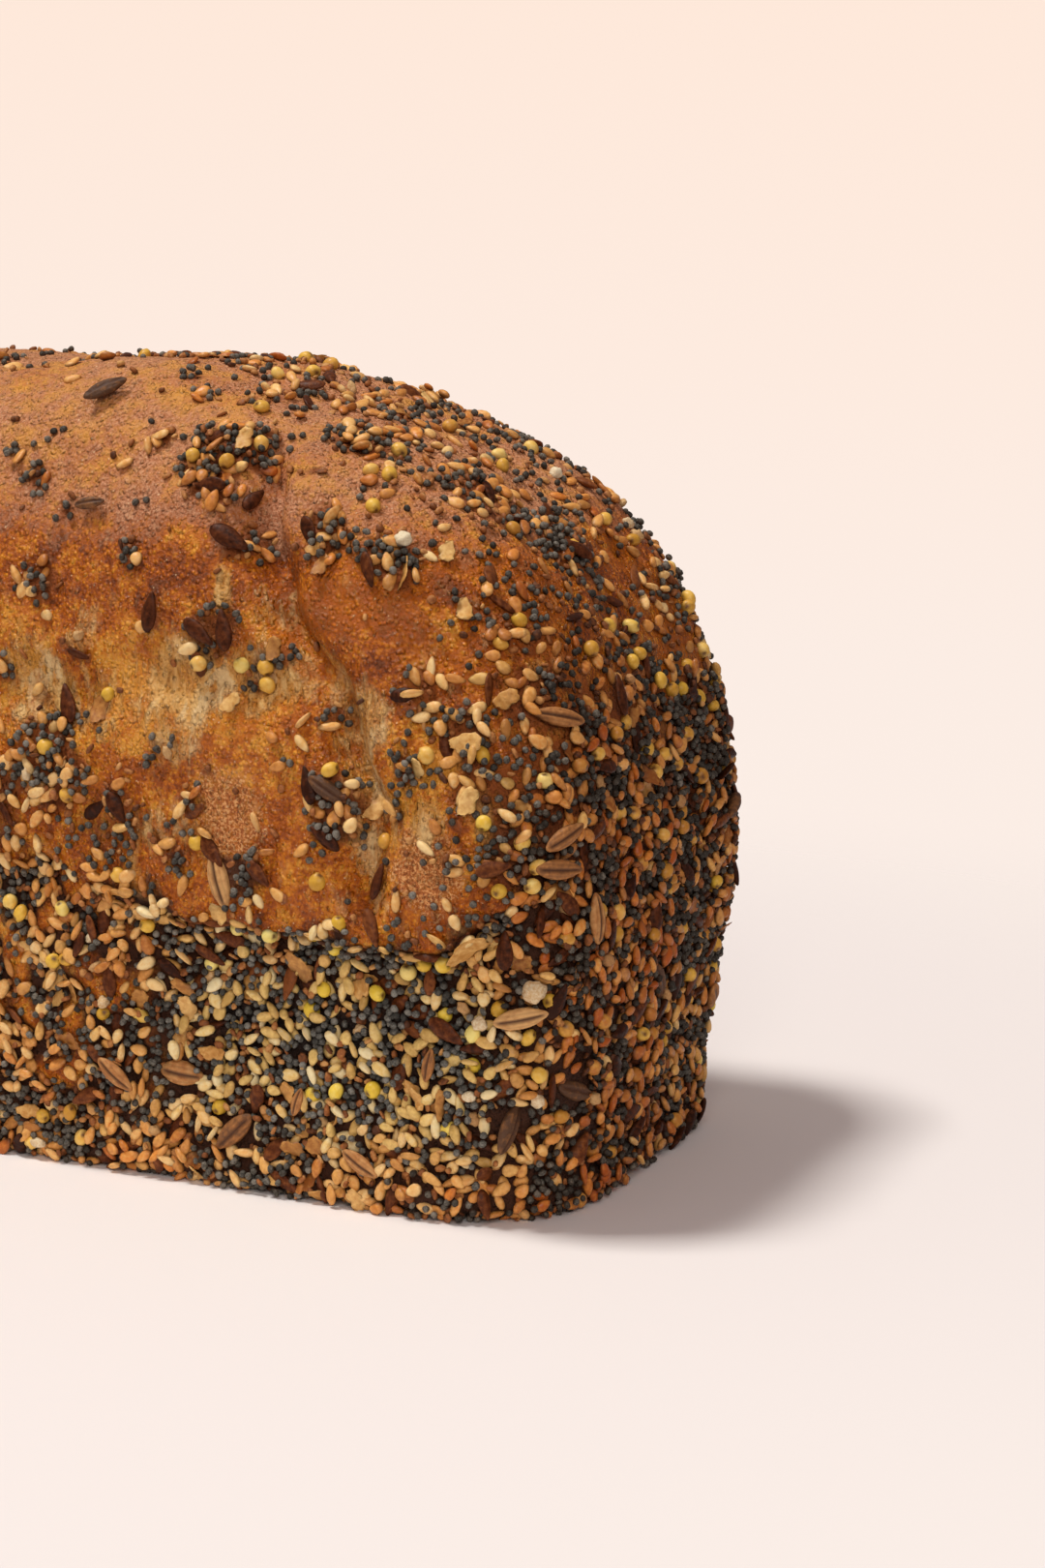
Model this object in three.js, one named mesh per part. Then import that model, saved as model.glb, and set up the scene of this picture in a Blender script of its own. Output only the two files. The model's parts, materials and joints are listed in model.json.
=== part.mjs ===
// A seeded tin loaf, baked as one piece, so it is one closed body.
// Millimetres, +Z up. The origin is the middle of the flat underside and X runs along the loaf.
// The body is the outside of crust and seeds together, lofted ring by ring from base to crown.
import * as THREE from 'three';

// The whole loaf.
const LENGTH = 200;
const WIDTH = 80;
const HEIGHT = 104;

// The walls, shaped by the tin.
const SHOULDER_HEIGHT = 33.5; // the walls end here and the risen crown begins
const WALL_DRAFT = 4; // each wall leans in this much from the shoulder down to the base
const BASE_ROUND = 2.7; // radius of the bottom edge
const CORNER_RADIUS = 18; // upright corners, seen from above

// The +X end is a little out of square: it slants back towards +Y, blended in along the loaf.
const END_SLANT = 0.15;
const SLANT_START = 30;
const SLANT_RUN = 60;

// The risen crown: one superellipse across the loaf and a softer one along it.
const CROSS_EXPONENT = 3;
const LENGTHWISE_EXPONENT = 2.55;
const END_FALL = 87; // length over which the crown comes down to each end
const CORNER_GAIN = 12; // extra corner radius by the time the crown closes

// The shaded band where each long side sits back under the crust's lip.
const BAND_DEPTH = 1.6;
const BAND_HEIGHT = 21;
const BAND_REACH = 10;

// Creases between the bulges of the long sides: where each one runs and how deep it is.
const CREASES = [
  { side: -1, x: 72, z: 62, lean: -0.38, width: 7, height: 24, depth: 2.6 },
  { side: -1, x: -8, z: 66, lean: 0.25, width: 9, height: 20, depth: 1.8 },
  { side: -1, x: -66, z: 60, lean: 0.3, width: 8, height: 22, depth: 2.2 },
  { side: 1, x: 44, z: 64, lean: 0.3, width: 9, height: 22, depth: 2.2 },
  { side: 1, x: -34, z: 60, lean: -0.35, width: 8, height: 24, depth: 2.4 },
];

// The slanted end is drawn back by this much, so that its foremost point keeps the loaf's length.
const SLANT_ROOM = END_SLANT * (WIDTH / 2 - CORNER_RADIUS) + CORNER_RADIUS * (Math.hypot(1, END_SLANT) - 1);

// How finely the rings are divided.
const LONG_SIDE_STEPS = 18;
const SHORT_SIDE_STEPS = 6;
const CORNER_STEPS = 6;
const BASE_RINGS = 3;
const WALL_RINGS = 8;
const CROWN_RINGS = 20;
const CROWN_LAST_ANGLE = 0.485 * Math.PI; // just short of a quarter turn, so the top ring stays open

const CRUST = { color: 0x8f5a2c, roughness: 0.62, metalness: 0 };

// The other coordinate of a superellipse with both half-axes 1.
function superellipse(t, exponent) {
  return (1 - t ** exponent) ** (1 / exponent);
}

// A smooth hump: 1 at 0, falling to nearly 0 beyond 2.
function hump(t) {
  return Math.exp(-t * t);
}

// Half-length, half-width and corner radius of the plain envelope at one height.
function ringSize(z) {
  const rise = Math.max(0, (z - SHOULDER_HEIGHT) / (HEIGHT - SHOULDER_HEIGHT));
  const lean = WALL_DRAFT * Math.max(0, 1 - z / SHOULDER_HEIGHT);
  const below = Math.max(0, BASE_ROUND - z);
  const rounding = BASE_ROUND - Math.sqrt(BASE_ROUND ** 2 - below ** 2);
  const inset = lean + rounding;
  const across = superellipse(rise, CROSS_EXPONENT);
  const along = superellipse(rise, LENGTHWISE_EXPONENT);
  const halfWidth = (WIDTH / 2) * across - inset;
  const halfLength = LENGTH / 2 - END_FALL * (1 - along) - inset;
  const wantedRadius = CORNER_RADIUS + CORNER_GAIN * (1 - across);
  return { halfLength, halfWidth, radius: Math.min(wantedRadius, halfWidth * 0.98) };
}

// Points of a straight run of the outline, without its last point.
function straightRun(from, to, steps, normal) {
  const run = [];
  for (let i = 0; i < steps; i += 1) {
    run.push({ at: from.clone().lerp(to, i / steps), normal });
  }
  return run;
}

// Points of one rounded corner, without its last point.
function cornerRun(centre, radius, startAngle, steps) {
  const run = [];
  for (let i = 0; i < steps; i += 1) {
    const angle = startAngle + (i / steps) * (Math.PI / 2);
    const normal = new THREE.Vector2(Math.cos(angle), Math.sin(angle));
    run.push({ at: centre.clone().addScaledVector(normal, radius), normal });
  }
  return run;
}

// A rounded rectangle with its outward normals, anticlockwise seen from above.
function roundedRectangle({ halfLength, halfWidth, radius }) {
  const x = halfLength - radius;
  const y = halfWidth - radius;
  const point = (px, py) => new THREE.Vector2(px, py);
  return [
    ...straightRun(point(-x, -halfWidth), point(x, -halfWidth), LONG_SIDE_STEPS, point(0, -1)),
    ...cornerRun(point(x, -y), radius, -Math.PI / 2, CORNER_STEPS),
    ...straightRun(point(halfLength, -y), point(halfLength, y), SHORT_SIDE_STEPS, point(1, 0)),
    ...cornerRun(point(x, y), radius, 0, CORNER_STEPS),
    ...straightRun(point(x, halfWidth), point(-x, halfWidth), LONG_SIDE_STEPS, point(0, 1)),
    ...cornerRun(point(-x, y), radius, Math.PI / 2, CORNER_STEPS),
    ...straightRun(point(-halfLength, y), point(-halfLength, -y), SHORT_SIDE_STEPS, point(-1, 0)),
    ...cornerRun(point(-x, -y), radius, Math.PI, CORNER_STEPS),
  ];
}

// How far the crust sits inside the plain envelope at a point of the outline.
function hollowDepth(at, normal, z) {
  let depth = BAND_DEPTH * normal.y ** 2 * hump((z - BAND_HEIGHT) / BAND_REACH);
  for (const crease of CREASES) {
    const facing = Math.max(0, normal.y * crease.side);
    const middle = crease.x + crease.lean * (z - crease.z);
    const across = hump((at.x - middle) / crease.width);
    const upright = hump((z - crease.z) / crease.height);
    depth += crease.depth * facing * across * upright;
  }
  return depth;
}

// How far a point of a squared loaf moves along X once the +X end slants.
function slantShift(x, y) {
  const share = THREE.MathUtils.clamp((x - SLANT_START) / SLANT_RUN, 0, 1);
  return -share * (SLANT_ROOM + END_SLANT * y);
}

// One ring of the loft at a given height.
function ringAt(z) {
  return roundedRectangle(ringSize(z)).map(({ at, normal }) => {
    const onCrust = at.clone().addScaledVector(normal, -hollowDepth(at, normal, z));
    return new THREE.Vector3(onCrust.x + slantShift(at.x, at.y), onCrust.y, z);
  });
}

// Heights of all rings: round the bottom edge, up the wall, then over the crown.
function ringHeights() {
  const heights = [];
  for (let i = 0; i < BASE_RINGS; i += 1) {
    heights.push(BASE_ROUND * (1 - Math.cos(((i / BASE_RINGS) * Math.PI) / 2)));
  }
  for (let i = 0; i < WALL_RINGS; i += 1) {
    heights.push(THREE.MathUtils.lerp(BASE_ROUND, SHOULDER_HEIGHT, i / WALL_RINGS));
  }
  for (let i = 0; i <= CROWN_RINGS; i += 1) {
    const angle = (i / CROWN_RINGS) * CROWN_LAST_ANGLE;
    heights.push(SHOULDER_HEIGHT + (HEIGHT - SHOULDER_HEIGHT) * Math.sin(angle));
  }
  return heights;
}

// Joins the rings into a closed body with a flat underside and a shallow cap on the crown.
function loafGeometry() {
  const rings = ringHeights().map(ringAt);
  const size = rings[0].length;
  const vertices = [...rings.flat(), new THREE.Vector3(0, 0, 0), new THREE.Vector3(0, 0, HEIGHT)];
  const underside = vertices.length - 2;
  const summit = vertices.length - 1;
  const lastRing = (rings.length - 1) * size;
  const triangles = [];
  for (let i = 0; i < size; i += 1) {
    const next = (i + 1) % size;
    triangles.push(underside, next, i);
    triangles.push(summit, lastRing + i, lastRing + next);
    for (let ring = 0; ring < lastRing; ring += size) {
      triangles.push(ring + i, ring + next, ring + size + next);
      triangles.push(ring + i, ring + size + next, ring + size + i);
    }
  }
  const geometry = new THREE.BufferGeometry().setFromPoints(vertices);
  geometry.setIndex(triangles);
  geometry.computeVertexNormals();
  return geometry;
}

const loaf = new THREE.Mesh(loafGeometry(), new THREE.MeshStandardMaterial(CRUST));
loaf.name = 'loaf';

const seededTinLoaf = new THREE.Group();
seededTinLoaf.add(loaf);

export default seededTinLoaf;
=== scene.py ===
# The looks of a seeded tin loaf: a blistered crust and the seeds baked into it.
# Shapes are worked out in millimetres in the CAD's frame and turned into metres when a mesh is made.
# +X is the near end, -Y the near long side and +Z up.
import itertools
import json
import math

import bpy
import numpy as np
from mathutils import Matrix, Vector

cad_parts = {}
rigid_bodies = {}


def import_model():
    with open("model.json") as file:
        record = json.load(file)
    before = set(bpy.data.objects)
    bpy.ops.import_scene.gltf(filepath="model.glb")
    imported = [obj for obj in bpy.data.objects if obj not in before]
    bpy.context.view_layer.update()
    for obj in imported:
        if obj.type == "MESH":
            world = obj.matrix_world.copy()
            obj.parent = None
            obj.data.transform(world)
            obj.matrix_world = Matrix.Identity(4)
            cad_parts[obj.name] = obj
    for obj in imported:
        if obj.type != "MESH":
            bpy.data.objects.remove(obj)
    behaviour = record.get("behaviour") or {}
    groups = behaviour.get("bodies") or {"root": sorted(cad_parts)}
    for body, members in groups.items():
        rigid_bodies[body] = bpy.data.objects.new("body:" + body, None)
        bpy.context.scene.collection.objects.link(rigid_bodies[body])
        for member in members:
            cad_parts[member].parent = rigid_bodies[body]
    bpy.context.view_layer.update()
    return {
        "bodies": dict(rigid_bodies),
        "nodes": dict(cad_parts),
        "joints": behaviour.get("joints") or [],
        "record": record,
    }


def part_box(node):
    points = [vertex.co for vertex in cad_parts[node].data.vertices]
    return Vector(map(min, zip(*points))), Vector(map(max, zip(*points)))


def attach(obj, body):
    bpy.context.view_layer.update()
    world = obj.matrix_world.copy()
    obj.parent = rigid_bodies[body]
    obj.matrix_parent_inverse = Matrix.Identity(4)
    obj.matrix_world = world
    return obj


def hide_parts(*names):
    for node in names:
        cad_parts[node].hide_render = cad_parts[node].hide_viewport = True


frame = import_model()

MM = 0.001
LOAF_LOW, LOAF_HIGH = (np.array(corner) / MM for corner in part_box("loaf"))
LENGTH, WIDTH, HEIGHT = LOAF_HIGH - LOAF_LOW

# ---- camera

CAMERA_TURN = 29.8  # degrees round from looking along +Y
CAMERA_RISE = 9.1  # degrees above the horizon
CAMERA_DISTANCE = 414 * MM
CAMERA_LENS = 80.0
CAMERA_SENSOR = 36.0  # the long side
CAMERA_CLIP = 10 * MM
AIM_FROM = Vector((96.5, -40, 0)) * MM  # by the bottom near corner
AIM_ABOVE = 55.4 * MM  # from there, along the camera's up


def add_object(name, data):
    made = bpy.data.objects.new(name, data)
    bpy.context.scene.collection.objects.link(made)
    return made


def make_camera():
    """A long lens at the near corner of the loaf, which leaves the far half out of the picture."""
    turn, rise = math.radians(CAMERA_TURN), math.radians(CAMERA_RISE)
    back = Vector((math.sin(turn) * math.cos(rise), -math.cos(turn) * math.cos(rise), math.sin(rise)))
    right = Vector((math.cos(turn), math.sin(turn), 0))
    up = back.cross(right)
    data = bpy.data.cameras.new("camera")
    data.lens = CAMERA_LENS
    data.sensor_width = CAMERA_SENSOR
    data.clip_start = CAMERA_CLIP
    camera = add_object("camera", data)
    camera.location = AIM_FROM + up * AIM_ABOVE + back * CAMERA_DISTANCE
    camera.rotation_euler = back.to_track_quat("Z", "Y").to_euler()
    bpy.context.scene.camera = camera


make_camera()

# ---- noise and other small helpers

HASH_FACTORS = (73856093, 19349663, 83492791)
HASH_START, HASH_STEP = 97531, 2654435761
HASH_SCRAMBLE = np.uint64(2246822519)
LOW_32_BITS, LOW_24_BITS = np.uint64(0xFFFFFFFF), np.uint64(0xFFFFFF)
NOISE_GAIN = 1.6


def fade(low, high, value):
    """0 below low, 1 above high and smooth between. It falls instead if low is above high."""
    t = np.clip((value - low) / (high - low), 0, 1)
    return t * t * (3 - 2 * t)


def hump(value):
    """1 at 0, falling smoothly to nearly 0 beyond 2."""
    return np.exp(-np.square(value))


def lattice_random(cells, seed):
    """A repeatable random number from 0 to 1 for each whole-number lattice point."""
    word = cells.astype(np.int64).astype(np.uint64)
    mixed = np.full(word.shape[:-1], seed * HASH_STEP + HASH_START, np.uint64)
    for axis, factor in enumerate(HASH_FACTORS):
        mixed ^= word[..., axis] * np.uint64(factor)
        mixed ^= mixed >> np.uint64(15)
        mixed *= HASH_SCRAMBLE
        mixed &= LOW_32_BITS
        mixed ^= mixed >> np.uint64(13)
    return (mixed & LOW_24_BITS).astype(float) / float(LOW_24_BITS)


def noise(points, size, seed):
    """Smooth gradient noise from about -1 to 1, with lumps about size across."""
    scaled = points / size
    base = np.floor(scaled)
    inside = scaled - base
    blend = inside**3 * (inside * (inside * 6 - 15) + 10)
    total = np.zeros(len(points))
    for corner in np.ndindex(2, 2, 2):
        cell = base + corner
        slope = np.stack([lattice_random(cell, seed * 3 + k) for k in range(3)], axis=1) * 2 - 1
        value = np.sum(slope * (inside - corner), axis=1)
        weight = np.prod(np.where(corner, blend, 1 - blend), axis=1)
        total += value * weight
    return total * NOISE_GAIN


def layered_noise(points, size, seed, layers=3):
    """Noise with finer and weaker lumps added, each layer half the size of the last."""
    total = np.zeros(len(points))
    for layer in range(layers):
        total += noise(points, size / 2**layer, seed + 11 * layer) / 2**layer
    return total


def unit(vectors):
    return vectors / np.maximum(np.linalg.norm(vectors, axis=-1, keepdims=True), 1e-12)


def distance(points, x, y, z):
    return np.linalg.norm(points - np.array([x, y, z]), axis=1)


def distance_to_path(across, up, path):
    """Distance in a side's plane from each point to a line through a few chosen points."""
    nearest = np.full(len(across), 1e9)
    spots = np.stack([across, up], axis=1)
    for start, end in zip(path, path[1:]):
        start, end = np.array(start, float), np.array(end, float)
        run = end - start
        t = np.clip((spots - start) @ run / (run @ run), 0, 1)
        gap = np.linalg.norm(spots - start - t[:, None] * run, axis=1)
        nearest = np.minimum(nearest, gap)
    return nearest


# ---- boxes of square faces

FACE_COUNT = 6
CORNER_STEPS = ((0, 0), (1, 0), (1, 1), (0, 1))


def box_lattice(cells):
    """The surface of a box of square cells.

    Gives its lattice points, outward quads, each quad's face, and its corners' places on that face.
    """
    quads, faces, places = [], [], []
    for face in range(FACE_COUNT):
        axis, top = divmod(face, 2)
        u, v = (axis + 1) % 3, (axis + 2) % 3
        iu, iv = (grid.ravel() for grid in np.meshgrid(np.arange(cells[u]), np.arange(cells[v])))
        corners = np.zeros((iu.size, 4, 3), int)
        for k, (du, dv) in enumerate(CORNER_STEPS):
            corners[:, k, u] = iu + du
            corners[:, k, v] = iv + dv
            corners[:, k, axis] = cells[axis] * top
        if not top:
            corners = corners[:, ::-1]
        quads.append(corners)
        faces.append(np.full(iu.size, face))
        places.append(np.stack([corners[..., u] / cells[u], corners[..., v] / cells[v]], axis=-1))
    corners = np.concatenate(quads)
    points, index = np.unique(corners.reshape(-1, 3), axis=0, return_inverse=True)
    return points, index.reshape(-1, 4), np.concatenate(faces), np.concatenate(places)


def vertex_normals(points, quads):
    """Outward normals at the vertices of a closed quad mesh."""
    a, b, c, d = (points[quads[:, k]] for k in range(4))
    face_normals = np.cross(c - a, d - b)
    normals = np.zeros_like(points)
    for k in range(4):
        np.add.at(normals, quads[:, k], face_normals)
    return unit(normals)


def make_piece(name, points, quads, material, uv, attributes):
    """A smooth-shaded mesh from millimetre points, riding on the loaf's body."""
    mesh = bpy.data.meshes.new(name)
    mesh.from_pydata((points * MM).tolist(), [], quads.tolist())
    mesh.polygons.foreach_set("use_smooth", np.ones(len(quads), bool))
    layer = mesh.uv_layers.new(name="OFBake")
    layer.data.foreach_set("uv", uv.astype(np.float32).ravel())
    for key, values in attributes.items():
        attribute = mesh.attributes.new(key, "FLOAT", "POINT")
        attribute.data.foreach_set("value", values.astype(np.float32))
    mesh.materials.append(material)
    mesh.update()
    piece = add_object(name, mesh)
    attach(piece, "root")
    return piece


# ---- the loaf's plain form

SHOULDER = 33.5  # height where the tin's wall ends and the crown begins
WALL_DRAFT = 4.0  # each wall leans in this much from the shoulder down to the base
BASE_ROUND = 2.7
CORNER_RADIUS = 18.0
CORNER_GAIN = 12.0  # corners grow rounder by this much towards the top of the crown
ROUNDEST = 0.98  # but by no more than this share of half the width
CROSS_EXPONENT = 3.0  # of the superellipse that the crown follows across the loaf
LENGTHWISE_EXPONENT = 2.55  # and along it
END_FALL = 87.0  # the crown comes down to each end over this length
END_SLANT = 0.15  # the near end is out of square: it slants back towards +Y
SLANT_START, SLANT_RUN = 30.0, 60.0
SLANT_ROOM = END_SLANT * (WIDTH / 2 - CORNER_RADIUS) + CORNER_RADIUS * (math.hypot(1, END_SLANT) - 1)
CRUST_INSET = 0.35  # bare crust lies this far inside the CAD's outline, to leave room for seeds
UNDERSIDE = 0.5  # the crust's own underside, above the seeds that the loaf stands on


def squared_x(points):
    """Where points would be along X if the slanted end were square."""
    back = SLANT_ROOM + END_SLANT * points[:, 1]
    blended = (points[:, 0] - SLANT_START * back / SLANT_RUN) / (1 - back / SLANT_RUN)
    return points[:, 0] + back * np.clip((blended - SLANT_START) / SLANT_RUN, 0, 1)


def crown_fullness(z, exponent):
    """How far out the crown reaches at each height: 1 at the shoulder and 0 at the top."""
    rise = np.clip((z - SHOULDER) / (HEIGHT - SHOULDER), 0, 1)
    return (1 - rise**exponent) ** (1 / exponent)


def wall_lean(z):
    return WALL_DRAFT * np.clip(1 - z / SHOULDER, 0, 1)


def end_reach(z):
    """Half the loaf's length at each height."""
    return LENGTH / 2 - END_FALL * (1 - crown_fullness(z, LENGTHWISE_EXPONENT)) - wall_lean(z)


def side_reach(z):
    """Half the loaf's width at each height."""
    return WIDTH / 2 * crown_fullness(z, CROSS_EXPONENT) - wall_lean(z)


def outside_gap(points):
    """Roughly how far points lie outside the plain crust: a rounded rectangle at each height."""
    x, (y, z) = squared_x(points), points.T[1:]
    grown = np.clip(z, 0, HEIGHT - CRUST_INSET) + CRUST_INSET * fade(SHOULDER, HEIGHT, z)
    into_round = np.clip(BASE_ROUND + UNDERSIDE - z, 0, BASE_ROUND)
    rounding = BASE_ROUND - np.sqrt(BASE_ROUND**2 - into_round**2)
    half_width = side_reach(grown) - CRUST_INSET - rounding
    half_length = end_reach(grown) - CRUST_INSET - rounding
    closing = 1 - side_reach(grown) / (WIDTH / 2)
    radius = np.minimum(CORNER_RADIUS + CORNER_GAIN * closing, half_width * ROUNDEST)
    over_x = np.abs(x) - (half_length - radius)
    over_y = np.abs(y) - (half_width - radius)
    outer = np.hypot(np.maximum(over_x, 0), np.maximum(over_y, 0))
    plan = outer + np.minimum(np.maximum(over_x, over_y), 0) - radius
    return np.maximum(np.maximum(plan, z - (HEIGHT - CRUST_INSET)), UNDERSIDE - z)


CRUST_CELL = 1.0  # size of the crust's mesh faces
SPINE_HEIGHT = 45.0  # rays to the crust start on a level line at this height
SPINE_SHARE = 0.6  # as long as this share of the loaf
RAY_REACH = 1.05  # rays go this far, the box's surface being at 1
HALVINGS = 30


def plain_crust():
    """The crust before any relief: a box's lattice drawn along rays onto the loaf's form."""
    size = np.array([LENGTH, WIDTH, HEIGHT])
    cells = np.round(size / CRUST_CELL).astype(int)
    lattice, quads, faces, places = box_lattice(cells)
    box = lattice / cells * size - np.array([LENGTH / 2, WIDTH / 2, 0])
    start = np.zeros_like(box)
    start[:, 0] = box[:, 0] * SPINE_SHARE
    start[:, 2] = SPINE_HEIGHT
    near, far = np.zeros(len(box)), np.full(len(box), RAY_REACH)
    for _ in range(HALVINGS):
        middle = (near + far) / 2
        is_outside = outside_gap(start + (box - start) * middle[:, None]) > 0
        far = np.where(is_outside, middle, far)
        near = np.where(is_outside, near, middle)
    points = start + (box - start) * near[:, None]
    return points, quads, faces, places


# ---- where things are on the loaf

# The lip: crust that rose over the tin's rim and hangs over the seeded wall below.
LIP_HEIGHT = 36.0
LIP_RISES = ((18, 15, 7.0), (100, 11, 10.0))  # x, reach and rise on the near side

# Creases of the near side as points (x, z), with depth and width.
NEAR_CREASES = (
    (((54, 92), (56, 84), (60, 74), (67, 66), (72, 58), (75, 50), (74, 41)), 4.0, 2.6),
    (((14, 62), (30, 61), (44, 65), (56, 66), (66, 65)), 1.8, 4.5),
    (((80, 70), (84, 62), (88, 54)), 1.3, 3.0),
)
# Creases of the near side's far half and of the far side, which are out of the picture.
HIDDEN_NEAR_CREASES = (
    (((-12, 88), (-9, 74), (-13, 58), (-8, 42)), 1.9, 4.0),
    (((-68, 86), (-72, 70), (-64, 54), (-66, 42)), 2.3, 3.4),
    (((-60, 64), (-40, 66), (-18, 62)), 1.2, 6.0),
)
FAR_CREASES = (
    (((40, 88), (44, 72), (38, 56), (41, 42)), 2.2, 3.4),
    (((-35, 90), (-32, 74), (-40, 60), (-37, 44)), 2.4, 3.2),
    (((-20, 60), (5, 64), (30, 60)), 1.2, 6.0),
)

# Clusters of seeds on the bare upper crust: x, y, z, radius, strength.
SEED_CLUSTERS = (
    (48, -30, 92, 8.5, 1.0), (62, -19, 94, 6.5, 0.9), (65, -34, 84, 3.8, 0.9), (75, -33, 81, 5.0, 1.0),
    (77, -15, 88, 9.0, 0.75), (54, -35, 82, 3.5, 0.9), (51, -38, 71, 3.8, 0.75),
    (43, -38, 72, 3.0, 0.8), (58, -39, 66, 3.5, 0.6), (20, -32, 89, 2.6, 0.7), (23, -37, 76, 3.6, 0.8),
    (27, -40, 53, 9.0, 0.85), (44, -40, 57, 3.5, 0.7), (69, -40, 51, 5.5, 0.9),
    (81, -38, 66, 4.0, 0.75), (90, -37, 56, 6.0, 0.75), (89, -27, 74, 8.0, 0.6),
    (56, -40, 41, 5.0, 0.8), (93, -30, 65, 6.0, 0.8), (48, -15, 100, 5.0, 0.6), (60, -5, 97, 6.0, 0.6),
    (39, -23, 99, 2.5, 0.6), (83, -5, 81, 9.0, 0.75), (13, -7, 104, 4.0, 0.6), (36, -40, 47, 8.0, 0.6),
    (17, -40, 47, 9.0, 0.65), (47, -40, 45, 5.0, 0.45), (84, -39, 58, 6.0, 0.5),
    (87, -37, 62, 4.0, 0.85), (80, -39, 56, 3.2, 0.8), (62, -39, 58, 4.0, 0.45),
)

# Where poppy seeds crowd out the others, given like the clusters.
POPPY_CROWDS = (
    (24, -40, 54, 7.0, 1.0), (30, -39, 59, 4.5, 1.0), (45, -39, 56, 4.5, 1.0), (72, -33, 83, 5.0, 1.0),
    (65, -35, 83, 4.5, 1.0), (54, -35, 81, 4.0, 1.0), (50, -28, 94, 6.0, 1.0), (87, -25, 77, 7.0, 0.9),
    (69, -40, 47, 4.5, 0.9), (49, -40, 40, 5.0, 1.0), (33, -40, 44, 6.0, 0.9), (90, -36, 58, 4.0, 1.0),
    (70, -18, 92, 9.0, 1.0),
)

# Gentle swellings of the whole crust: x, y, z, radius and height.
SWELLINGS = (
    (5, -10, 104, 12, -1.0), (26, -12, 103, 12, 1.3), (68, 6, 93, 14, -1.6), (84, 23, 73, 14, 1.3),
    (94, 22, 50, 12, 0.8),
)


def lip_height(points):
    """Height of the lip's edge near each point."""
    ground = points * np.array([1, 1, 0])
    height = LIP_HEIGHT + 2.6 * noise(ground, 30, 5) + 1.2 * noise(ground, 9, 6)
    near_side = fade(-20, -34, points[:, 1])
    for x, reach, rise in LIP_RISES:
        height += near_side * rise * hump((points[:, 0] - x) / reach)
    return height


def crease_depth(points, creases, side):
    """How deep the creases of one long side are at each point."""
    facing = fade(8, 26, points[:, 1] * side)
    wander = 1.6 * noise(points, 9, 21)
    depth = np.zeros(len(points))
    for path, deep, width in creases:
        gap = distance_to_path(points[:, 0] + wander, points[:, 2], path)
        depth = np.maximum(depth, deep * hump(gap / width))
    return depth * facing


def all_creases(points):
    near = crease_depth(points, NEAR_CREASES + HIDDEN_NEAR_CREASES, -1)
    return near + crease_depth(points, FAR_CREASES, 1)


# Patches come again out of the picture: how each copy is mirrored along X and Y, and its shift along X.
TWINS = ((1, 1, 0), (-1, 1, 9), (1, -1, -14), (-1, -1, 5))


def in_patches(points, patches, seed):
    """How strongly points lie in ragged patches, each given by x, y, z, radius and strength."""
    strongest = np.zeros(len(points))
    wander = 2.2 * noise(points, 4.5, seed)
    for turn_x, turn_y, shift in TWINS:
        share = 1 if turn_y > 0 else fade(6, 14, points[:, 1])
        for x, y, z, radius, strength in patches:
            gap = distance(points, x * turn_x + shift, y * turn_y, z) + wander
            inside = fade(radius, radius * 0.45, gap)
            strongest = np.maximum(strongest, share * strength * inside)
    return strongest


PATCH_END = 46.0  # the walls have bare patches in the loaf's middle part, up to this far from x = 0
PATCH_FADE = 14.0  # and come in over this length


def seed_coat(points):
    """How thickly seeds lie, 0 to 1, and the same without those that lie on the bare crust."""
    z = points[:, 2]
    x = squared_x(points)
    mid_wall = fade(PATCH_END, PATCH_END - PATCH_FADE, np.abs(x))
    fuzzy = 1 + 2.5 * mid_wall
    below_lip = fade(2.4, -1.4, (z - lip_height(points) + 3.0 * noise(points, 6, 31)) / fuzzy)
    patches = fade(-0.15, 0.3, noise(points, 5.5, 35)) * mid_wall
    below_lip *= 1 - 0.65 * patches * fade(4, 12, z)
    on_end = fade(17, 4, end_reach(z) - np.abs(x) + 4.0 * noise(points, 8, 32))
    on_end *= 1 - 0.75 * fade(50, 80, z + 8 * noise(points, 10, 36))
    sprinkled = 0.018 + 0.8 * fade(0.42, 0.75, noise(points, 4.0, 33))
    sprinkled += 0.08 * fade(58, 42, z) + 0.25 * fade(78, 92, x)
    thick = np.clip(np.maximum(below_lip, on_end), 0, 1)
    loose = np.maximum(sprinkled, in_patches(points, SEED_CLUSTERS, 34))
    return np.clip(np.maximum(thick, loose), 0, 1), thick


RECESS_DEPTH = 3.2  # how far the wall sits back under the lip, at most
COAT_ROOM = 1.3  # the crust lies lower under a full coat of seeds
CLUSTER_ROOM = 0.2  # and a little lower under a cluster on the bare crust
LIP_ROLL = 0.9  # how far the lip bulges out
LIP_DROOP = 2.4  # how far its edge hangs down
EDGE_ROOM = 0.2  # the crust stays this far inside the CAD's box
SEED_ROOM = 0.9  # and about this far at its sides and top, where seeds lie on bare crust
EASE = 0.4  # and eases up to that limit over about this much
FLOOR_TUCK = 0.8  # the base's edge is drawn in by this much
WRINKLE_STRETCH = np.array([1.7, 1.7, 0.8])  # wrinkles run up and down


def sheltered(points):
    """1 in the recess under the lip, which baked less and where shade is painted between the seeds, and 0
    away from it.
    """
    x, y, z = np.abs(points.T)
    along = fade(36, 52, x) * fade(97, 84, x)
    return hump((z - 21) / 14) * along * fade(20, 32, y)


def recess_share(points):
    """How far the wall sits back under the lip: most along two stretches of each side."""
    x = np.abs(points[:, 0])
    return 0.3 + 0.7 * fade(32, 50, x) * fade(97, 84, x)


def eased_below(limit, values):
    """The values, held gently below a limit."""
    return limit - EASE * np.log1p(np.exp((limit - values) / EASE))


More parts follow.
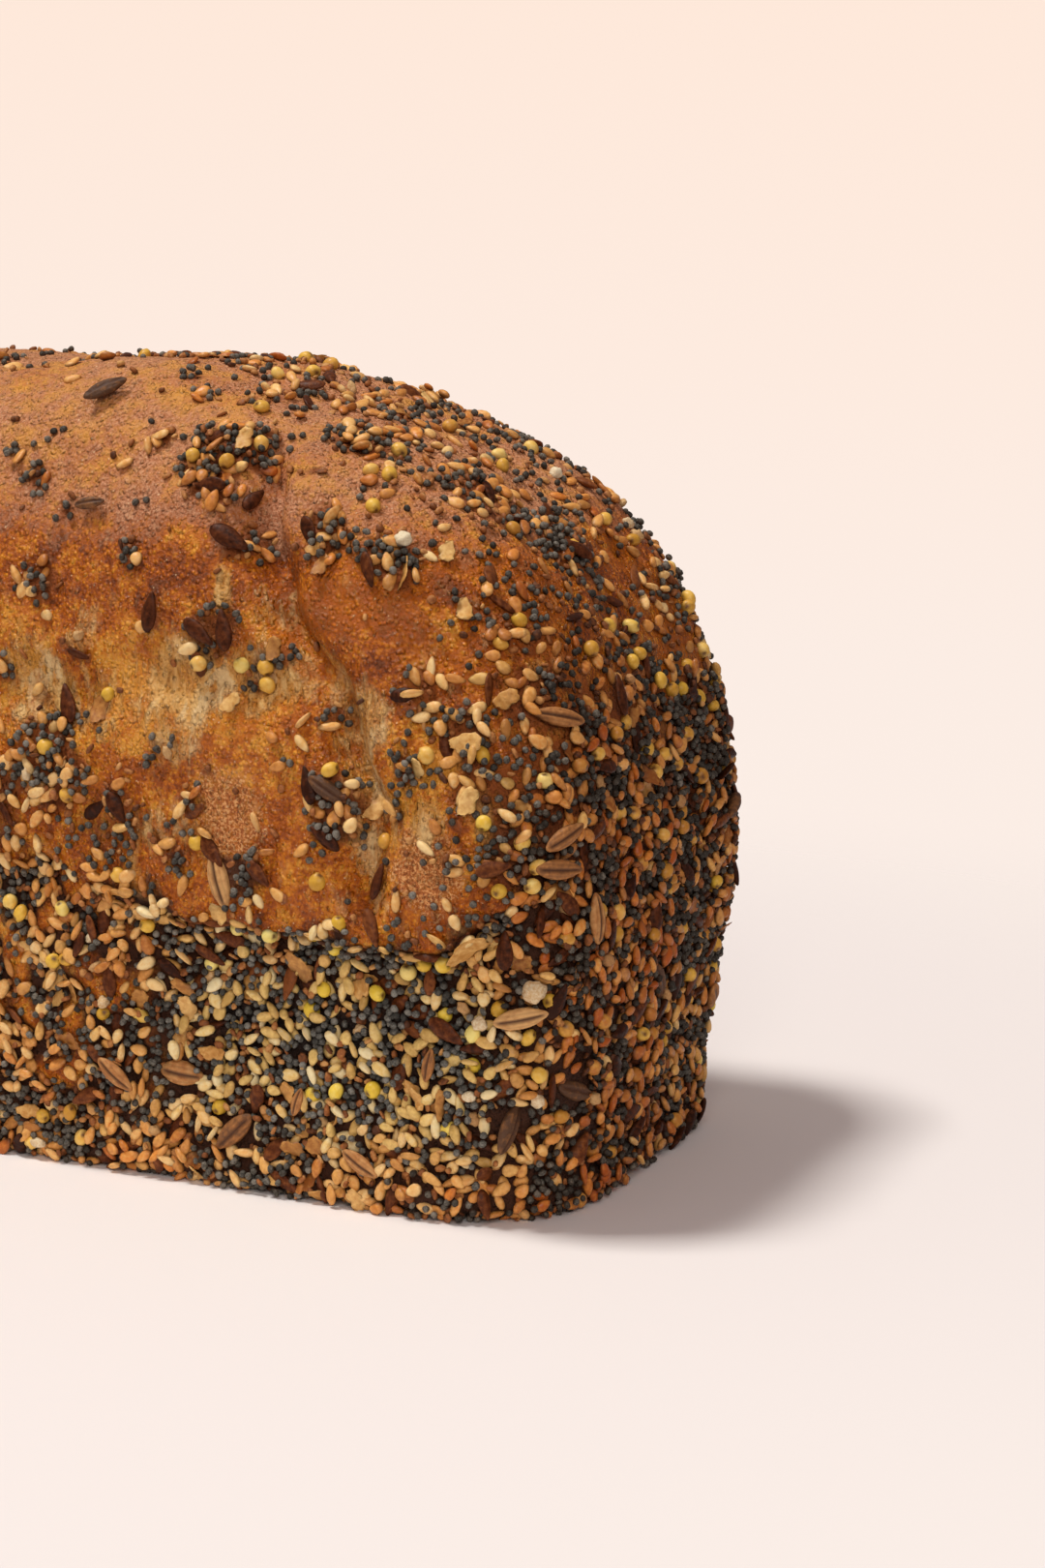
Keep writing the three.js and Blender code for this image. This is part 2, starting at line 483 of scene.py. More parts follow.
def relief(points, normals, coat, thick):
    """Where each point of the plain crust ends up once the crust's lumps are on it."""
    z = points[:, 2]
    below = lip_height(points) - z
    on_side = fade(0.5, 0.9, np.abs(normals[:, 1])) * recess_share(points)
    recess = RECESS_DEPTH * on_side * fade(-0.6, 1.8, below) * hump(np.maximum(below - 6, 0) / 17)
    roll = LIP_ROLL * on_side * hump((below + 3.5) / 3)
    bare = fade(0.7, 0.2, thick)
    bulges = 1.2 * noise(points, 24, 41) - 0.2
    for x, y, height, radius, rise in SWELLINGS:
        bulges += rise * hump(distance(points, x, y, height) / radius)
    lumps = 0.5 * layered_noise(points, 7, 42) * (0.4 + 0.6 * bare)
    wrinkles = 0.3 * noise(points * WRINKLE_STRETCH, 3.2, 43) * bare
    room = COAT_ROOM * thick + CLUSTER_ROOM * (coat - thick)
    offset = bulges + lumps + wrinkles + roll - recess - room - all_creases(points)
    on_floor = fade(6, 1, z)
    offset = offset * (1 - on_floor) - FLOOR_TUCK * on_floor * fade(0.9, 0.2, -normals[:, 2])
    moved = points + normals * offset[:, None]
    moved[:, 2] -= LIP_DROOP * on_side * hump((below + 1.0) / 2.2)
    half_width = eased_below(LOAF_HIGH[1] - SEED_ROOM, np.abs(moved[:, 1]))
    moved[:, 1] = np.sign(moved[:, 1]) * half_width
    moved[:, 2] = eased_below(LOAF_HIGH[2] - SEED_ROOM, moved[:, 2])
    return np.clip(moved, LOAF_LOW + EDGE_ROOM, LOAF_HIGH - EDGE_ROOM)


# ---- materials


class Nodes:
    """A node tree being put together. Most methods add a node and return its output."""

    def __init__(self, tree):
        self.tree = tree

    def node(self, kind, inputs=None, **settings):
        made = self.tree.nodes.new(kind)
        for key, value in settings.items():
            setattr(made, key, value)
        for key, value in (inputs or {}).items():
            self.feed(made.inputs[key], value)
        return made

    def feed(self, socket, value):
        if isinstance(value, bpy.types.NodeSocket):
            self.tree.links.new(value, socket)
        else:
            socket.default_value = value

    def math(self, operation, first, second):
        return self.node("ShaderNodeMath", {0: first, 1: second}, operation=operation).outputs[0]

    def add(self, first, second):
        return self.math("ADD", first, second)

    def times(self, first, second):
        return self.math("MULTIPLY", first, second)

    def larger(self, first, second):
        return self.math("MAXIMUM", first, second)

    def remap(self, value, low, high, to_low=0.0, to_high=1.0, **settings):
        inputs = {"Value": value, "From Min": low, "From Max": high, "To Min": to_low, "To Max": to_high}
        return self.node("ShaderNodeMapRange", inputs, **settings).outputs["Result"]

    def ramp(self, value, stops):
        made = self.node("ShaderNodeValToRGB", {"Fac": value})
        elements = made.color_ramp.elements
        while len(elements) < len(stops):
            elements.new(0.5)
        for element, (position, colour) in zip(elements, stops):
            element.position = position
            element.color = (*colour, 1)
        return made.outputs["Color"]

    def even_ramp(self, value, colours):
        """A ramp whose colours are evenly spread from 0 to 1."""
        return self.ramp(value, list(zip(np.linspace(0, 1, len(colours)), colours)))


class Shader(Nodes):
    """A material's nodes, which read the place on the piece and its attributes."""

    def __init__(self, name):
        self.material = bpy.data.materials.new(name)
        self.material.use_nodes = True
        super().__init__(self.material.node_tree)
        self.surface = self.tree.nodes["Principled BSDF"]
        self.place = self.node("ShaderNodeTexCoord").outputs["Object"]

    def attribute(self, name):
        return self.node("ShaderNodeAttribute", attribute_name=name).outputs["Fac"]

    def edged(self, name, texture, spread, reach):
        """An attribute whose edges a texture makes ragged."""
        ragged = self.remap(texture, 0.5 - spread, 0.5 + spread, -reach, reach)
        return self.add(self.attribute(name), ragged)

    def stretched(self, place, scale):
        return self.node("ShaderNodeMapping", {"Vector": place, "Scale": scale}).outputs[0]

    def noise(self, size_mm, detail=3.0, roughness=0.55, stretch=(1, 1, 1)):
        place = self.stretched(self.place, stretch)
        inputs = {"Vector": place, "Scale": 1 / (size_mm * MM), "Detail": detail, "Roughness": roughness}
        return self.node("ShaderNodeTexNoise", inputs).outputs["Fac"]

    def cells(self, size_mm, smoothness=0.4):
        inputs = {"Vector": self.place, "Scale": 1 / (size_mm * MM), "Smoothness": smoothness}
        return self.node("ShaderNodeTexVoronoi", inputs, feature="SMOOTH_F1").outputs["Distance"]

    def torn_skin(self, size_mm):
        """Ragged overlapping scales that run up and down: each one's height and its tone, 0 to 1."""
        inputs = {"Vector": self.place, "Scale": 2 / (size_mm * MM), "Detail": 4.0}
        ragged = self.node("ShaderNodeTexNoise", inputs).outputs["Color"]
        inputs = {0: ragged, "Scale": 0.8 * size_mm * MM}
        shift = self.node("ShaderNodeVectorMath", inputs, operation="SCALE").outputs[0]
        place = self.node("ShaderNodeVectorMath", {0: self.place, 1: shift}).outputs[0]
        inputs = {"Vector": self.stretched(place, (1.3, 1.3, 0.6)), "Scale": 1 / (size_mm * MM)}
        scales = self.node("ShaderNodeTexVoronoi", inputs, feature="F1").outputs["Color"]
        parts = self.node("ShaderNodeSeparateColor", {"Color": scales})
        return parts.outputs[0], parts.outputs[1]

    def mix(self, factor, first, second):
        made = self.node("ShaderNodeMix", data_type="RGBA")
        for key, value in ((0, factor), (6, first), (7, second)):
            if isinstance(value, tuple):
                value = (*value, 1)
            self.feed(made.inputs[key], value)
        return made.outputs[2]

    def bump(self, height, depth_mm, normal=None):
        inputs = {"Height": height, "Distance": depth_mm * MM, "Strength": 1.0}
        if normal is not None:
            inputs["Normal"] = normal
        return self.node("ShaderNodeBump", inputs).outputs[0]

    def finish(self, colour, roughness, normal, specular):
        inputs = {"Base Color": colour, "Roughness": roughness, "Normal": normal}
        inputs["Specular IOR Level"] = specular
        for key, value in inputs.items():
            self.feed(self.surface.inputs[key], value)
        return self.material


# From the palest skin to the most baked.
CRUST_COLOURS = (
    (0.96, 0.42, 0.05), (0.80, 0.26, 0.015), (0.58, 0.14, 0.004), (0.36, 0.07, 0.002),
    (0.12, 0.022, 0.002),
)
# Places along a texture, from 0 to 1, with their colours.
GLOWING_SKIN = ((0.3, (0.50, 0.09, 0.001)), (0.5, (0.72, 0.18, 0.003)), (0.7, (0.92, 0.32, 0.02)))
PALE_SKIN = ((0.35, (0.72, 0.32, 0.06)), (0.5, (0.85, 0.45, 0.12)), (0.65, (0.95, 0.62, 0.24)))
CROWN_SKIN = ((0.36, (0.42, 0.14, 0.045)), (0.5, (0.62, 0.265, 0.13)), (0.64, (0.86, 0.46, 0.25)))
SCUFFED_SKIN = ((0.4, (0.32, 0.08, 0.018)), (0.5, (0.62, 0.20, 0.045)), (0.62, (0.95, 0.52, 0.20)))
TORN_SKIN = (0.95, 0.70, 0.36)
PAINTED_VALLEY_SHADE = (0.26, 0.06, 0.004)  # painted shade between blisters
# A painted glint: the colour of tiny highlights on the blisters.
PAINTED_GLINT = (0.97, 0.74, 0.42)
# The crust's own brown between seeds, and the painted shade that darkens it where seeds crowd.
BROWN_UNDER_SEEDS = (0.30, 0.075, 0.012)
PAINTED_SHADE_UNDER_SEEDS = (0.012, 0.005, 0.0025)
CRUST_SPECULAR = 0.34


def baked_skin(shader, patches, grain, pebbles):
    """Mottled amber and brown with fine blisters, painted lighter on top and darker between, duller on the
    crown and matte where scuffed.
    """
    dust = shader.noise(0.35, 3.0, 0.7)
    bake = shader.edged("bake", patches, 0.14, 0.34)
    bake = shader.add(bake, shader.remap(grain, 0.4, 0.6, -0.2, 0.2))
    # Painted light and shade on the blisters: lighter at their tops, darker at their edges.
    bake = shader.add(bake, shader.remap(pebbles, 0.1, 0.55, -0.12, 0.16))
    colour = shader.even_ramp(bake, CRUST_COLOURS)
    glow = shader.remap(shader.edged("glow", patches, 0.15, 0.3), 0.1, 0.9, 0, 0.45)
    colour = shader.mix(glow, colour, shader.ramp(grain, GLOWING_SKIN))
    # Painted shade in the valleys between blisters.
    colour = shader.mix(shader.remap(pebbles, 0.3, 0.6, 0, 0.22), colour, PAINTED_VALLEY_SHADE)
    dull = shader.remap(shader.edged("dull", patches, 0.15, 0.28), 0.2, 0.9, 0, 0.85)
    colour = shader.mix(dull, colour, shader.ramp(dust, CROWN_SKIN))
    scuffed = shader.remap(shader.edged("scuff", grain, 0.1, 0.3), 0.3, 0.8, 0, 0.9)
    return shader.mix(scuffed, colour, shader.ramp(dust, SCUFFED_SKIN))


def crust_material():
    """Baked skin, pale and torn in the creases, with painted glints, and brown darkened by painted shade
    where seeds cover it.
    """
    shader = Shader("crust")
    patches = shader.noise(4.0, 5.0, 0.65)
    grain = shader.noise(0.7, 4.0, 0.7)
    pebbles = shader.cells(0.7)
    streaks = shader.noise(1.6, 4.0, 0.65, stretch=(1, 1, 0.4))
    pale = shader.edged("pale", streaks, 0.14, 0.3)
    is_torn = shader.remap(pale, 0.3, 0.9)
    skin_height, skin_tone = shader.torn_skin(4.0)
    torn = shader.times(is_torn, shader.remap(skin_tone, 0.6, 0.85))
    # Painted glints: tiny pale dots standing for highlights on the blisters.
    glints = shader.remap(shader.cells(0.8, 0.1), 0.19, 0.1)
    glints = shader.times(glints, shader.remap(grain, 0.5, 0.6, 0, 0.8))
    coat = shader.attribute("coat")
    # Between seeds the crust is brown; painted shade darkens it further where the shade attribute is high.
    under = shader.mix(shader.attribute("shade"), BROWN_UNDER_SEEDS, PAINTED_SHADE_UNDER_SEEDS)

    colour = baked_skin(shader, patches, grain, pebbles)
    colour = shader.mix(shader.remap(pale, 0.2, 0.9, 0, 0.88), colour, shader.ramp(streaks, PALE_SKIN))
    colour = shader.mix(shader.times(torn, 0.55), colour, TORN_SKIN)
    colour = shader.mix(glints, colour, PAINTED_GLINT)
    colour = shader.mix(coat, colour, under)

    normal = shader.bump(streaks, 0.6)
    normal = shader.bump(grain, 0.6, normal)
    normal = shader.bump(shader.remap(pebbles, 0.5, 0.0), 0.45, normal)
    normal = shader.bump(shader.times(is_torn, skin_height), 0.5, normal)

    worn = shader.larger(shader.attribute("scuff"), shader.attribute("dull"))
    worn = shader.times(shader.larger(worn, coat), 0.4)
    roughness = shader.add(shader.remap(patches, 0.3, 0.7, 0.2, 0.38), worn)
    return shader.finish(colour, roughness, normal, CRUST_SPECULAR)


SUNK_SHADE_AND_OIL = (0.045, 0.016, 0.006)  # painted shade on a seed's lower part where it sits in the crust, with the darkening of oil and dough there
SUNK_SHADE_AND_OIL_SHARE = 0.85
ROUGHNESS_SPREAD = 0.08  # either way, over a seed's grain


def seed_material(name, raw, toasted, rough, grain_mm, depth, mark=None, specular=0.3, mottle=0.2):
    """Seeds whose colour runs along a raw and a toasted ramp, each seed with a tone of its own, and
    painted shade with oil on their lower parts.
    """
    shader = Shader(name)
    grain = shader.noise(grain_mm, 3.0)
    tone = shader.edged("tone", grain, 0.2, mottle)
    raw, toasted = shader.even_ramp(tone, raw), shader.even_ramp(tone, toasted)
    colour = shader.mix(shader.attribute("toast"), raw, toasted)
    if mark is not None:
        colour = shader.mix(shader.attribute("mark"), colour, mark)
    # Painted shade, with the darkening of oil and dough, on each seed's lower part.
    colour = shader.mix(shader.times(shader.attribute("sunk_shade_and_oil"), SUNK_SHADE_AND_OIL_SHARE), colour, SUNK_SHADE_AND_OIL)
    roughness = shader.remap(grain, 0.3, 0.7, rough - ROUGHNESS_SPREAD, rough + ROUGHNESS_SPREAD)
    return shader.finish(colour, roughness, shader.bump(grain, depth), specular)


# ---- the crust

ATLAS_GAP = 2.0  # between the faces in the crust's texture
ATLAS_WIDTH = LENGTH + HEIGHT + 3 * ATLAS_GAP
ATLAS_HEIGHT = 2 * HEIGHT + 2 * WIDTH + 5 * ATLAS_GAP


def crust_atlas():
    """Each face's place in the crust's texture: left, bottom, width, height, and whether it's turned."""
    left = ATLAS_GAP
    right = LENGTH + 2 * ATLAS_GAP
    rows = [ATLAS_GAP]
    for height in (HEIGHT, HEIGHT, WIDTH, WIDTH):
        rows.append(rows[-1] + height + ATLAS_GAP)
    return {
        0: (right, rows[0], HEIGHT, WIDTH, True),
        1: (right, rows[0] + WIDTH + ATLAS_GAP, HEIGHT, WIDTH, True),
        2: (left, rows[0], LENGTH, HEIGHT, True),
        3: (left, rows[1], LENGTH, HEIGHT, True),
        4: (left, rows[2], LENGTH, WIDTH, False),
        5: (left, rows[3], LENGTH, WIDTH, False),
    }


def crust_uv(faces, places):
    uv = np.zeros_like(places)
    for face, (left, bottom, width, height, turned) in crust_atlas().items():
        chosen = faces == face
        u, v = places[chosen, :, 0], places[chosen, :, 1]
        if turned:
            u, v = v, u
        across = (left + u * width) / ATLAS_WIDTH
        up = (bottom + v * height) / ATLAS_HEIGHT
        uv[chosen] = np.stack([across, up], -1)
    return uv


# Pale torn patches: x, y, z, radius and strength.
PALES = (
    (48, -39, 65, 8.5, 1.0), (57, -38, 66, 6.5, 0.85), (52, -37, 77, 2.4, 1.0), (24, -39, 63, 8.0, 0.7),
    (35, -39, 61, 5.0, 0.7), (73, -39, 62, 5.0, 0.9), (87, -38, 59, 4.0, 1.0), (89, -38, 53, 4.0, 0.9),
    (83, -40, 51, 4.0, 0.9), (73, -40, 52, 3.0, 0.8), (40, -40, 38, 5.0, 0.7),
)
# Dark baked patches, the same way.
BROWNS = (
    (77, -34, 79, 9.0, 0.25), (88, -25, 77, 9.0, 0.25), (64, -36, 75, 7.0, 0.2),
    (45, -39, 55, 7.0, 0.1),
)
# Golden patches, the same way.
GOLDS = (
    (42, -39, 63, 10.0, 0.24), (60, -39, 60, 7.0, 0.1), (82, -38, 57, 8.0, 0.35),
    (22, -38, 69, 8.0, 0.2), (79, -39, 49, 5.0, 0.2),
)
# Matte patches, the same way.
SCUFFS = (
    (54, -40, 49, 7.0, 0.9), (82, -40, 44, 6.5, 1.0), (40, -40, 36, 5.0, 0.8),
)


def crust_fields(points, coat):
    """Numbers that the crust's material reads at each vertex."""
    z = points[:, 2]
    crease = all_creases(points)
    bake = 0.28 + 0.2 * noise(points, 22, 51) + 0.16 * noise(points, 7, 52)
    bake += 0.14 * fade(62, 74, z) - 0.3 * fade(80, 92, z) + 0.08 * fade(62, 50, z)
    bake += in_patches(points, BROWNS, 59) - in_patches(points, GOLDS, 61)
    # Painted shade: the crust darker deep in the upper creases.
    bake += 0.08 * crease * fade(70, 80, z)
    pale = 0.6 * fade(0.4, 2.0, crease) * (0.8 + 0.9 * noise(points, 5, 53)) * fade(80, 72, z)
    pale += 0.5 * fade(0.3, 0.8, noise(points, 9, 54)) * fade(80, 66, z)
    pale = np.maximum(pale, in_patches(points, PALES, 60))
    dull = fade(77, 88, z) * (0.78 + 0.35 * noise(points, 14, 55))
    scuff = in_patches(points, SCUFFS, 56)
    covered = fade(0.4, 0.85, coat + 0.15 * noise(points, 3, 57))
    # Painted shade between the seeds: darkest in the recess under the lip and low on the walls.
    shade = np.maximum(sheltered(points), 0.85 * fade(58, 38, z))
    glow = 0.8 * fade(-0.2, 0.4, noise(points, 17, 58))
    glow *= fade(54, 62, z) * fade(88, 78, z)
    fields = {"bake": bake, "pale": pale, "dull": dull, "scuff": scuff, "shade": shade, "glow": glow}
    fields = {name: np.clip(values, 0, 1) for name, values in fields.items()}
    return fields | {"coat": covered}


def make_crust():
    points, quads, faces, places = plain_crust()
    normals = vertex_normals(points, quads)
    coat, thick = seed_coat(points)
    fields = crust_fields(points, coat)
    points = relief(points, normals, coat, thick)
    uv = crust_uv(faces, places)
    crust = make_piece("crust", points, quads, crust_material(), uv, fields)
    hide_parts("loaf")
    return points, quads, coat


# ---- seed shapes


SHEET_GRID = np.array([3, 2])
SHEET_MARGIN = 0.06


def ball(cells):
    """A unit ball made from a cube: points, quads and each quad's corners in a 3 by 2 texture sheet."""
    lattice, quads, faces, places = box_lattice((cells, cells, cells))
    cube = lattice / cells * 2 - 1
    points = unit(np.tan(cube * math.pi / 4))
    corner = np.stack([faces % SHEET_GRID[0], faces // SHEET_GRID[0]], -1)[:, None, :]
    sheet = (corner + SHEET_MARGIN + places * (1 - 2 * SHEET_MARGIN)) / SHEET_GRID
    return points, quads, sheet


# Each function gets a unit ball's points, and their x, y and z. It bends the ball into a seed and says
# where the seed is marked, 0 to 1.


def poppy(points, x, y, z):
    """A kidney, so small that only its dent shows."""
    return np.stack([x, y * (1 - 0.1 * x) + 0.16 * x * x - 0.06, z], -1), 0 * x


def sesame(points, x, y, z):
    """A flat teardrop, narrow at one end."""
    width = 1 - 0.3 * x - 0.16 * x * x
    rim = 0.6 * fade(0.45, 0.0, np.abs(z))
    mark = np.maximum(fade(0.8, 1.0, x), rim)
    return np.stack([x * 1.04, y * width, z * (1 - 0.2 * x)], -1), mark


def millet(points, x, y, z):
    """A ball with a small dark dimple where it sat in its husk."""
    facing = points @ unit(np.array([0.75, 0.1, 0.65]))
    dimple = fade(0.86, 0.99, facing)
    return points * (1 - 0.16 * dimple + 0.06 * fade(0.6, 0.85, facing))[:, None], dimple


def flax(points, x, y, z):
    """A flat drop that runs out to a point."""
    length = 1 + 0.14 * fade(0.5, 1.0, x)
    width = 1 - 0.36 * fade(-0.3, 1.0, x)
    return np.stack([x * length, y * width, z * (1 - 0.25 * np.abs(y))], -1), 0 * x


def kernel(points, x, y, z):
    """A ridged kernel with a groove along its top, with shade painted in the groove and between the
    ridges.
    """
    taper = 1 - 0.32 * fade(0.1, 1.0, x) - 0.12 * fade(0.3, 1.0, -x)
    groove = hump(y / 0.16) * fade(0.1, 0.6, z) * fade(1.0, 0.7, np.abs(x))
    ridges = 0.07 * np.cos(y * 16) * fade(-0.2, 0.4, z)
    height = z * (1 - 0.12 * np.abs(x)) - 0.34 * groove + ridges
    # The mark is painted shade in the groove and between the ridges.
    mark = np.clip(groove + 0.2 * fade(0.03, -0.06, ridges), 0, 1)
    return np.stack([x, y * taper, height], -1), mark


def flake(points, x, y, z):
    """A thin curled scale of husk or crust."""
    lift = 2.6 * x * x - 1.4 * y * x
    ragged = 1 + 0.5 * noise(points, 0.6, 61)
    return np.stack([x * ragged, y * ragged, z + lift], -1), 0 * x


def crumb(points, x, y, z):
    """A rough lump of broken grain."""
    lumps = 1 + 0.3 * noise(points, 0.8, 62) + 0.12 * noise(points, 0.3, 63)
    return points * lumps[:, None], fade(0.0, 0.5, noise(points, 0.6, 64))


def grit(points, x, y, z):
    """A small sharp fragment."""
    return points * (1 + 0.4 * noise(points, 0.9, 65))[:, None], 0 * x


def seed_shape(cells, bend):
    """A ball with cells along each face's edge, bent into a seed."""
    points, quads, sheet = ball(cells)
    bent, mark = bend(points, *points.T)
    return bent, quads, sheet, mark


# ---- seeds on the crust

# Large grains with a place of their own: x, y, z, turn from level in degrees, size and tone.
PLACED = {
    "kernels": (
        (53, -40, 41, 105, 1.05, 0.85), (93.5, -36, 27, 12, 0.95, 0.95),
        (97.3, -32, 49, 25, 0.85, 0.45), (97.6, -32.5, 45, -5, 0.9, 0.4), (99.5, -27, 38, 95, 0.9, 0.6),
        (35, -37.5, 13, -40, 0.85, 0.55), (71, -36.6, 6, -28, 0.8, 0.6), (26, -24, 98.6, 35, 0.85, 0.0),
        (30, -33.6, 85.7, 10, 0.6, 0.1), (69, -40, 53, -30, 0.8, 0.0), (62, -38, 13, 70, 0.55, 0.5),
        (81, -38, 20, 80, 0.6, 0.4),
    ),
    "flax_seeds": (
        (43, -37.6, 72.7, 80, 1.2, 0.3), (49.5, -38, 71.3, -35, 1.15, 0.4),
        (54, -38, 71, 100, 1.2, 0.3), (52, -35, 82, -30, 1.3, 0.3), (29, -39, 61, 110, 1.2, 0.4),
        (74, -40, 43, 75, 1.1, 0.4), (92, -38, 35, 90, 1.1, 0.3), (84, -39, 24, -30, 1.2, 0.5),
        (59, -40, 42, -40, 1.0, 0.6), (94.6, -13, 63, 85, 1.2, 0.3), (79, -38.7, 65.3, 10, 0.9, 0.1),
    ),
    "flakes": (
        (89, -39.4, 35, 60, 1.7, 0.6), (66, -36, 80, 70, 0.9, 0.2), (87.5, -38, 60.5, 15, 1.2, 0.7),
        (88.5, -38.7, 53.5, 70, 1.1, 0.8), (61, -38, 69, 80, 0.9, 0.3), (54, -39, 63, 50, 0.9, 0.7),
        (91, -34, 65, 30, 1.0, 0.5),
    ),
    "crumbs": ((95.5, -34.7, 29.6, 40, 1.7, 0.7), (76, -33, 84, 0, 1.2, 1.0), (88, -38, 26, 0, 1.1, 0.8)),
}
PLACED_LIFT = 1.3  # where other seeds lie thick, these lie this far above the crust
THINNEST_COAT = 0.35  # and they are lifted at least as for this coat
PLACED_RADII = {"kernels": 2.2, "flax_seeds": 1.4, "flakes": 1.4, "crumbs": 0.8}


BED_CUBE = 4.4  # about twice the largest seed's radius
NEIGHBOURS = tuple(itertools.product((-1, 0, 1), repeat=3))


class SeedBed:
    """Seeds already laid in one layer, sorted into cubes so that neighbours are quick to find."""

    def __init__(self):
        self.laid = {}

    def lay(self, point, radius):
        """Adds the seed and says so, unless it would overlap one that is there."""
        x, y, z = point
        i, j, k = (int(value // BED_CUBE) for value in point)
        for a, b, c in NEIGHBOURS:
            for ox, oy, oz, other in self.laid.get((i + a, j + b, k + c), ()):
                reach = radius + other
                if (x - ox) ** 2 + (y - oy) ** 2 + (z - oz) ** 2 < reach * reach:
                    return False
        self.laid.setdefault((i, j, k), []).append((x, y, z, radius))
        return True


class Surface:
    """The crust as something to drop seeds on."""

    def __init__(self, points, quads, coat):
        self.points, self.quads = points, quads
        self.normals = vertex_normals(points, quads)
        self.coat = coat
        self.clumps = fade(-0.25, 0.35, noise(points, 6, 81) + 0.5 * noise(points, 15, 83))
        self.clumps = np.maximum(self.clumps, in_patches(points, POPPY_CROWDS, 82))
        a, b, c, d = (points[quads[:, k]] for k in range(4))
        self.area = np.linalg.norm(np.cross(c - a, d - b), axis=1) / 2

    def drop(self, rng, per_mm2):
        """Random spots, per_mm2 of them on each square millimetre: their points and normals."""
        expected = self.area * per_mm2[self.quads].mean(axis=1)
        count = int(expected.sum())
        face = rng.choice(len(expected), count, p=expected / expected.sum())
        u, v = rng.random((2, count, 1))
        corners = self.quads[face]
        weights = ((1 - u) * (1 - v), u * (1 - v), u * v, (1 - u) * v)

        def blend(values):
            return sum(weight * values[corners[:, k]] for k, weight in enumerate(weights))

        return blend(self.points), unit(blend(self.normals))


ON_EDGE_SHARE = 0.18  # of the seeds stand more or less on edge
ON_EDGE_TILT = 70.0  # degrees
STEEPEST = 1.2  # the most that a seed leans over its long side, in radians


def seat(rng, points, normals, half_size, spread, tilt, lift):
    """Turns and sinks each seed: its centre, its frame of three directions and its half-sizes."""
    count = len(points)
    sideways = unit(np.cross(normals, unit(rng.normal(size=(count, 3)))))
    other = np.cross(normals, sideways)
    tilts = np.where(rng.random(count) < ON_EDGE_SHARE, ON_EDGE_TILT, tilt)
    lean = rng.normal(size=(count, 2)) * np.radians(tilts)[:, None]
    steep = np.tan(np.clip(lean[:, 1:], -STEEPEST, STEEPEST))
    up = unit(normals + steep * other + lean[:, :1] * 0.5 * sideways)
    length = unit(sideways - up * np.sum(sideways * up, axis=1, keepdims=True))
    half = np.array(half_size) * (1 + spread * rng.uniform(-1, 1, (count, 3)))
    centre = points + normals * lift[:, None]
    frame = np.stack([length, np.cross(up, length), up], axis=1)
    return {"centre": centre, "frame": frame, "half": half, "normal": normals}


def seat_placed(surface, spots, half_size):
    """Seeds that have a place of their own, lying on the crust's nearest point."""
    centre, frame, half, normals = [], [], [], []
    for x, y, z, turn, size, _ in spots:
        nearest = np.argmin(distance(surface.points, x, y, z))
        normal = surface.normals[nearest]
        level = unit(np.cross(np.array([0, 0, 1.0]), normal))
        steep = np.cross(normal, level)
        angle = math.radians(turn)
        length = math.cos(angle) * level + math.sin(angle) * steep
        lift = PLACED_LIFT * max(surface.coat[nearest], THINNEST_COAT) + 0.5 * half_size[2]
        centre.append(surface.points[nearest] + normal * lift)
        frame.append([length, np.cross(normal, length), normal])
        half.append(np.array(half_size) * size)
        normals.append(normal)
    placed = {"centre": centre, "frame": frame, "half": half, "normal": normals}
    return {key: np.array(values) for key, values in placed.items()}


def keep_inside(placed):
    """Pushes seeds that would stick out of the CAD's box back into the crust."""
    over = np.maximum(placed.max(axis=1) - LOAF_HIGH, 0) - np.maximum(LOAF_LOW - placed.min(axis=1), 0)
    return placed - over[:, None, :]


PIECE_QUADS = 96000  # a piece of seeds is split above this


def make_seeds(name, shape, seeds, tone, toast, material):
    """One or more meshes holding all seeds of a kind, each seed with a square of the texture."""
    unit_points, quads, sheet, mark = shape
    pieces = math.ceil(len(tone) * len(quads) / PIECE_QUADS)
    for piece in range(pieces):
        chosen = np.arange(piece, len(tone), pieces)
        count = len(chosen)
        scaled = unit_points[None] * seeds["half"][chosen][:, None, :]
        placed = np.einsum("spk,skd->spd", scaled, seeds["frame"][chosen])
        rise = np.einsum("spd,sd->sp", placed, seeds["normal"][chosen])
        rise /= np.abs(rise).max(axis=1, keepdims=True)
        placed += seeds["centre"][chosen][:, None, :]
        placed = keep_inside(placed)
        starts = np.arange(count)[:, None, None] * len(unit_points)
        all_quads = (quads[None] + starts).reshape(-1, 4)
        side = math.ceil(math.sqrt(count))
        cell = np.stack([np.arange(count) % side, np.arange(count) // side], -1)
        uv = (cell[:, None, None, :] + sheet[None]) / side
        per_vertex = {
            "tone": np.repeat(tone[chosen], len(unit_points)),
            "toast": np.repeat(toast[chosen], len(unit_points)),
            "mark": np.tile(mark, count),
            # Painted shade and oil on each seed's lower part, where it sits in the crust.
            "sunk_shade_and_oil": fade(0.25, -0.7, rise).ravel(),
        }
        label = name if pieces == 1 else f"{name}_{piece + 1}"
        make_piece(label, placed.reshape(-1, 3), all_quads, material, uv, per_vertex)


def toast_of(rng, points):
    """How toasted a seed is: pale in the recess under the lip, brown on the ends and the crown."""
    x, _, z = np.abs(points.T)
    toast = 0.62 + 0.15 * fade(60, 90, z) + 0.3 * fade(90, 98, x) - 0.8 * sheltered(points)
    toast += 0.2 * fade(9, 4, z)
    return np.clip(toast + 0.13 * rng.normal(size=len(points)) + 0.2 * noise(points, 8, 71), 0, 1)


